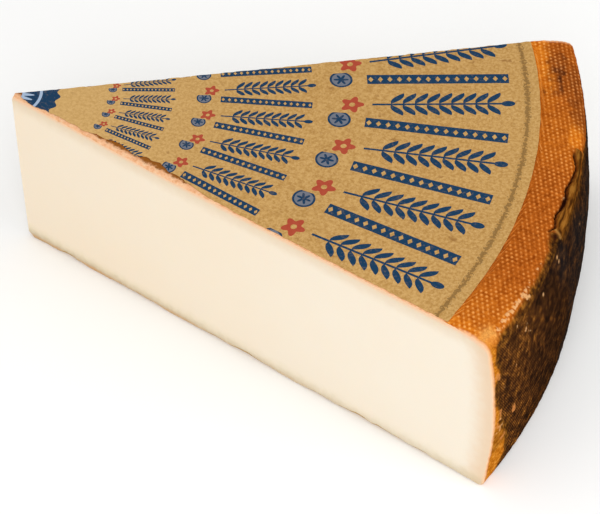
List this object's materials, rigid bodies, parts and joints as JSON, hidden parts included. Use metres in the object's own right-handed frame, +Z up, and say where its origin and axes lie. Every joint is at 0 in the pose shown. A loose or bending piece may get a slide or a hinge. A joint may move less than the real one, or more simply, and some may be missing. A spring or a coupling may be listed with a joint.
{
  "type": "wedge of hard mountain cheese",
  "caption": "Wedge cut from a large wheel of hard aged cheese, lying flat, with rough brown rind, smooth pale cut faces and a paper disc on top.",
  "frame": {"origin": "middle of the footprint's box, on the surface that the wedge lies on", "axes": "+X from the tip to the middle of the rind side, +Z up through the paper, and the two cut faces are alike on -Y and +Y"},
  "size_m": [0.3075, 0.2328, 0.1073],
  "materials": {
    "cheese": "pale cream cut paste, smooth and slightly waxy, under a dry rind: cloth-marked orange brown on top and nearly black brown on the rim side",
    "printed_paper": null
  },
  "bodies": {
    "root": {"cheese": "cheese", "paper_disc": "printed_paper"}
  },
  "joints": []
}
